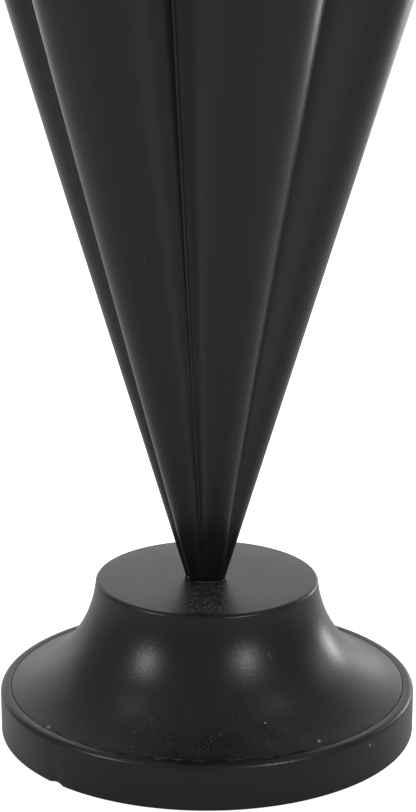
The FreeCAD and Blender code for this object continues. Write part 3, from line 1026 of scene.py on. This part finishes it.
class ASHBIN_OT_bowl(bpy.types.Operator):
    """Spins the ash bowl with its rolled flange, grid ledge and rounded bottom"""
    bl_idname = "ash_bin.bowl"
    bl_label = "Ash bowl"

    def execute(self, context):
        s = context.scene.ash_bin_top
        low, high = bottom("ash_bowl"), top("ash_bowl")
        edge = radius("ash_bowl")
        out, wall = s.bowl_radius, s.bowl_wall
        ledge = bottom("stub_grid")
        inner = out - wall
        well = inner - 0.003
        bowl = outline("ash_bowl_spun", (edge, high - wall), [
            (edge, high), (inner, high), (inner, ledge), (well, ledge), (well, low + wall),
            (0.0, low + wall), (0.0, low), (well + wall, low), (well + wall, ledge - wall),
            (out, ledge - wall), (out, high - wall), (edge, high - wall),
        ], [
            (edge, high, wall * 0.5, 4), (edge, high - wall, wall * 0.5, 4),
            (inner, high, 0.0008, 4), (well, ledge, 0.0005, 3),
            (well, low + wall, 0.0085, 8), (well + wall, low, 0.0097, 8),
            (out, ledge - wall, 0.0008, 3),
        ])
        fit(turn(bowl, 128), "bowl", "bowl_steel", "ash_bowl")
        return {"FINISHED"}


class ASHBIN_OT_knob(bpy.types.Operator):
    """Spins the grid's knob and cuts grip grooves into its side"""
    bl_idname = "ash_bin.knob"
    bl_label = "Grid knob"

    def execute(self, context):
        s = context.scene.ash_bin_top
        low, high, edge = bottom("grid_knob"), top("grid_knob"), radius("grid_knob")
        neck = low + 0.006
        stem = 0.004
        knob = outline("grid_knob_turned", (0.0, low), [
            (stem + 0.0015, low), (stem, low + 0.0015), (stem, neck), (edge - 0.0015, neck),
            (edge, neck + 0.0015), (edge, high), (0.0, high),
        ], [(edge, high, 0.0025, 6), (stem, neck, 0.0008, 3)])
        turn(knob, s.knob_flutes * 4)
        bpy.ops.object.mode_set(mode="EDIT")
        part = 2 * pi / s.knob_flutes

        def in_groove(middle, normal):
            side = abs(normal.z) < 0.2 and hypot(middle.x, middle.y) > edge - 0.001
            return side and (atan2(middle.y, middle.x) % part) < part / 2

        select_faces(knob, in_groove)
        bpy.ops.mesh.inset(thickness=0.00018, depth=-0.00045, use_even_offset=True)
        close_skin(35)
        fit(knob, "grid", "knob_steel", "grid_knob")
        return {"FINISHED"}


# ---------------------------------------------------------------- carried-over nodes


class ASHBIN_OT_finishes(bpy.types.Operator):
    """Gives every node that is shown as it is the finish of its slot"""
    bl_idname = "ash_bin.finishes"
    bl_label = "Finishes"

    def execute(self, context):
        for name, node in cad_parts.items():
            slot = next(s for s, starts in NODE_SLOTS.items() if name.startswith(starts))
            node.data.materials.clear()
            node.data.materials.append(finish(slot))
        return {"FINISHED"}


# ---------------------------------------------------------------- stage


def soft_light(name, around, up, distance, width, height, radiance, aim=0.2, spread=pi):
    """A soft box that the camera doesn't see, turned round the bin from the camera's side."""
    turn_by = bpy.context.scene.ash_bin_studio.around + around
    reach = distance * cos(up)
    place = Vector((sin(turn_by) * reach, -cos(turn_by) * reach, aim + distance * sin(up)))
    deselect_objects()
    bpy.ops.object.light_add(type="AREA", location=place)
    light = bpy.context.object
    light.name = name
    light.rotation_euler = (Vector((0, 0, aim)) - place).to_track_quat("-Z", "Y").to_euler()
    light.data.shape = "RECTANGLE"
    light.data.size, light.data.size_y = width, height
    light.data.energy = radiance * pi * width * height
    light.data.spread = spread
    light.visible_camera = False
    return light


class ASHBIN_OT_stage(bpy.types.Operator):
    """Lays the pale floor, sets the soft lights and places the camera"""
    bl_idname = "ash_bin.stage"
    bl_label = "Stage"

    def execute(self, context):
        s = context.scene.ash_bin_studio
        deselect_objects()
        bpy.ops.mesh.primitive_circle_add(vertices=96, radius=60, fill_type="NGON",
                                          location=(0, 0, 0))
        floor = bpy.context.object
        floor.name = "floor"
        paper = Finish("finish_floor", Specular_IOR_Level=0.0, Roughness=1.0,
                       Emission_Strength=1.0)
        seen = paper.node("ShaderNodeLightPath", output="Is Camera Ray")
        paper.shader.inputs["Base Color"].default_value = (*[c * 0.9 for c in s.backdrop], 1)
        paper.set("Emission Color", paper.mix(seen, (0, 0, 0), [c * s.floor for c in s.backdrop]))
        floor.data.materials.append(paper.material)

        world = bpy.data.worlds.new("studio")
        world.use_nodes = True
        world.node_tree.nodes["Background"].inputs["Color"].default_value = (*s.backdrop, 1)
        world.node_tree.nodes["Background"].inputs["Strength"].default_value = s.world
        context.scene.world = world

        soft_light("back_light", pi, radians(14), 2.4, 5.5, 2.6, s.back_light)
        soft_light("left_box", radians(-57), radians(23), 1.9, 0.34, 0.40, s.left_box)
        soft_light("right_box", radians(37), radians(23), 1.9, 0.30, 0.38, s.right_box)
        soft_light("left_high_box", radians(-78), radians(52), 1.9, 0.45, 0.40, s.high_boxes)
        soft_light("right_high_box", radians(72), radians(52), 1.9, 0.45, 0.40, s.high_boxes)
        soft_light("right_spot", radians(130), radians(4), 1.8, 0.26, 0.30, s.right_spot, 0.12,
                   spread=radians(55))
        soft_light("right_strip", radians(150), radians(4), 1.8, 0.60, 0.36, s.right_strip, 0.12,
                   spread=radians(55))
        soft_light("side_strip", radians(112), radians(16), 1.7, 0.40, 0.45, s.side_strip)

        ahead = Vector((sin(s.around), -cos(s.around), 0))
        eye = ahead * s.distance + Vector((0, 0, s.height))
        deselect_objects()
        bpy.ops.object.camera_add(location=eye)
        camera = bpy.context.object
        camera.name = "camera"
        camera.rotation_euler = (pi / 2 - s.down, 0, s.around - s.aside)
        camera.data.lens = s.lens
        camera.data.sensor_width = 36
        camera.data.clip_start, camera.data.clip_end = 0.01, 200
        context.scene.camera = camera
        context.scene.view_settings.view_transform = "Standard"
        return {"FINISHED"}


OPERATORS = (
    ASHBIN_OT_finishes,
    ASHBIN_OT_base,
    ASHBIN_OT_floor_ring,
    ASHBIN_OT_cone,
    ASHBIN_OT_seams,
    ASHBIN_OT_liner,
    ASHBIN_OT_cover,
    ASHBIN_OT_bowl,
    ASHBIN_OT_knob,
    ASHBIN_OT_stage,
)


class ASHBIN_PT_sidebar(bpy.types.Panel):
    """Lists the bin's sizes, colours and pieces"""
    bl_idname = "ASHBIN_PT_sidebar"
    bl_label = "Ashtray Bin"
    bl_space_type = "VIEW_3D"
    bl_region_type = "UI"
    bl_category = "Ashtray Bin"

    def draw(self, context):
        for operator in OPERATORS:
            self.layout.operator(operator.bl_idname)
        for name in GROUPS:
            box = self.layout.box()
            group = getattr(context.scene, name)
            for field in group.__annotations__:
                box.prop(group, field)


CLASSES = (*GROUPS.values(), *OPERATORS, ASHBIN_PT_sidebar)


def register():
    for made in CLASSES:
        bpy.utils.register_class(made)
    for name, group in GROUPS.items():
        setattr(bpy.types.Scene, name, PointerProperty(type=group))


def unregister():
    for name in GROUPS:
        delattr(bpy.types.Scene, name)
    for made in reversed(CLASSES):
        bpy.utils.unregister_class(made)


def main():
    register()
    for operator in OPERATORS:
        group, name = operator.bl_idname.split(".")
        getattr(getattr(bpy.ops, group), name)()


if __name__ == "__main__":
    main()
